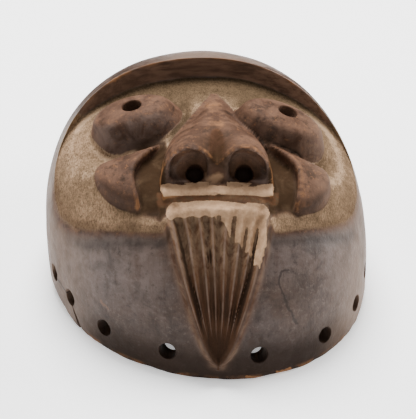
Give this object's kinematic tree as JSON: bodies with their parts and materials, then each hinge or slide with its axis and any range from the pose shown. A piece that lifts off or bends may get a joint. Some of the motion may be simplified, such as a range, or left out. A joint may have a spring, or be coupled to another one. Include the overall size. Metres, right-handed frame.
{
  "type": "carved wooden face mask",
  "caption": "Deep dome-shaped carved wooden face mask with tubular eyes, open nose, fluted beard and a rim pierced for cords, lying face up.",
  "frame": {"origin": "centre of the plan box of the mask at the plane of its rim, the surface it rests on", "axes": "+Z out of the face, up as the mask lies; +Y to the crown; +X to the right of a viewer who stands at the chin"},
  "size_m": [0.244, 0.2761, 0.1507],
  "materials": {
    "wood": "dark hand-rubbed patina, dusty with clay in the face, worn to orange-brown on the edges"
  },
  "bodies": {
    "root": {"mask": "wood"}
  },
  "joints": []
}
